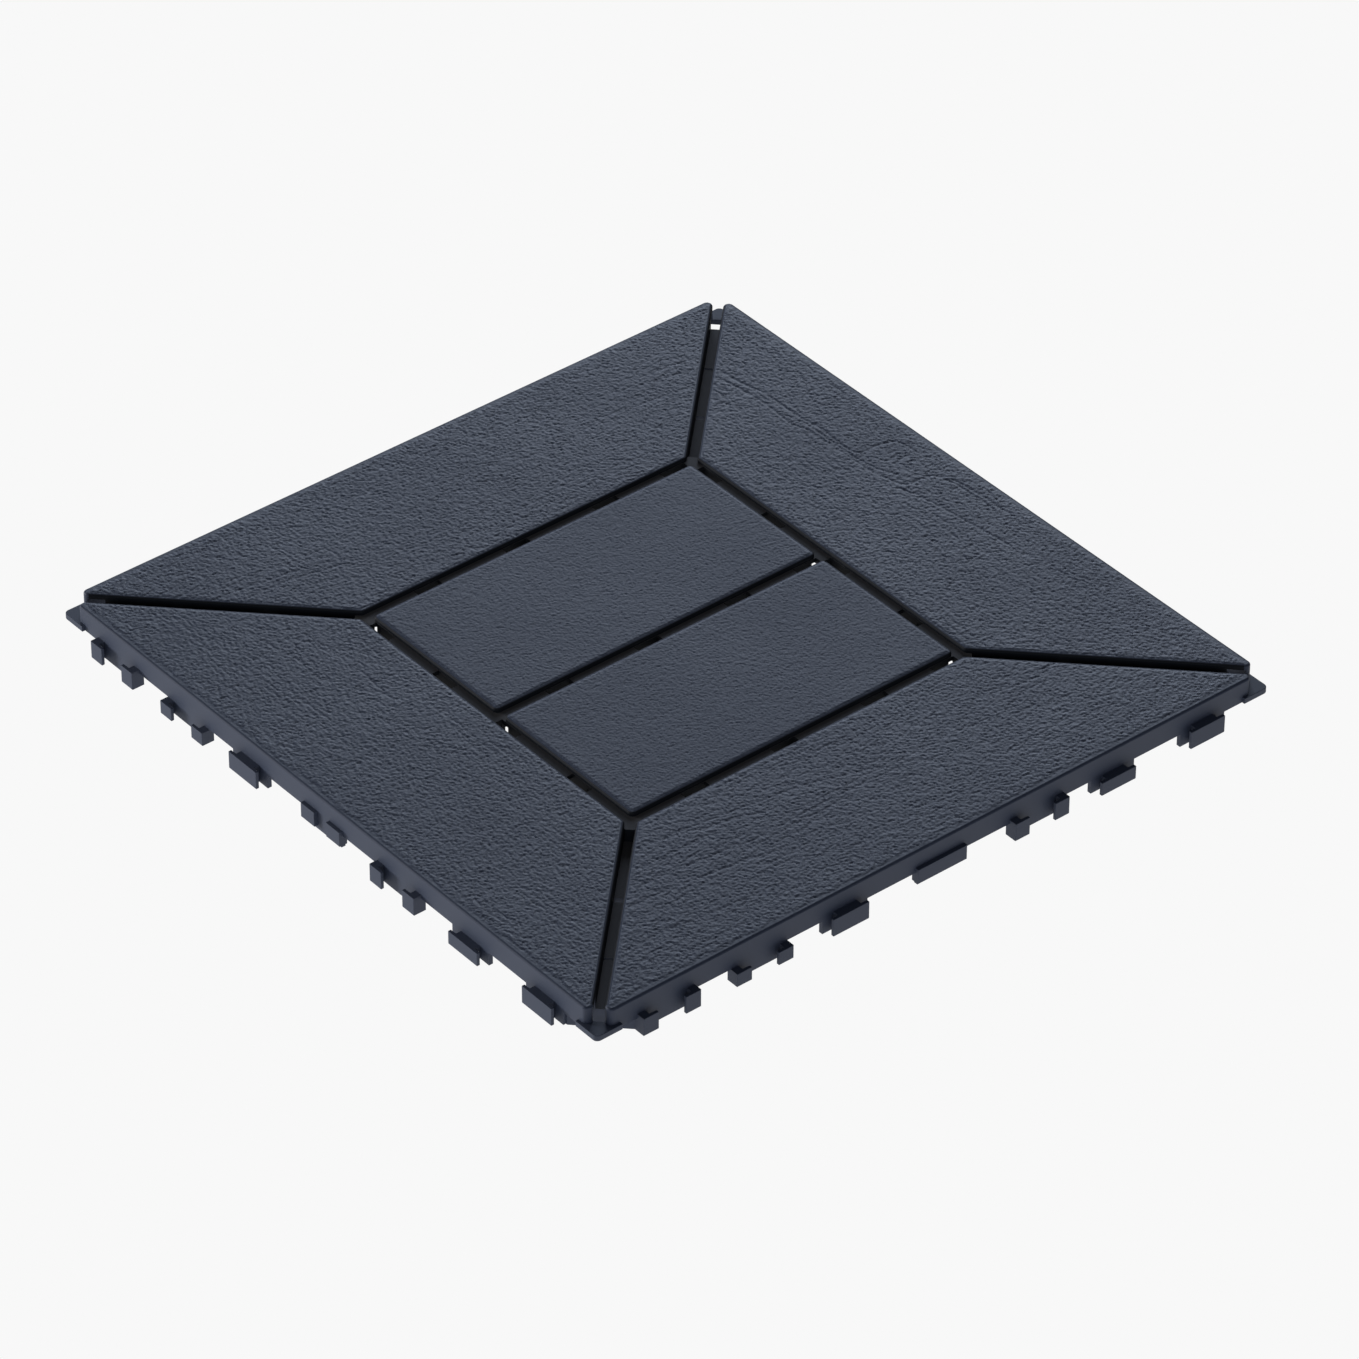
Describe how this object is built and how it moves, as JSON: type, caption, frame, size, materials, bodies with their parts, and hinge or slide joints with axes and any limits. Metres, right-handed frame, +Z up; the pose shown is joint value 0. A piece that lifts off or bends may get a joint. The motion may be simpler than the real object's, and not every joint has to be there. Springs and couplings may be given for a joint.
{
  "type": "interlocking deck tile",
  "caption": "Square moulded plastic deck tile: mitred frame boards round two slats, drained grooves, and hooks and T tabs on every side that lock it to the next tile.",
  "frame": {"origin": "on the ground, under the middle of the tile", "axes": "+Z up through the walking surface, +Y along the two middle slats, -Y the front side"},
  "size_m": [0.307, 0.307, 0.015],
  "materials": {
    "plastic": "dark blue-grey moulded polypropylene with an embossed wood grain"
  },
  "bodies": {
    "root": {"deck_tile": "plastic"}
  },
  "joints": []
}
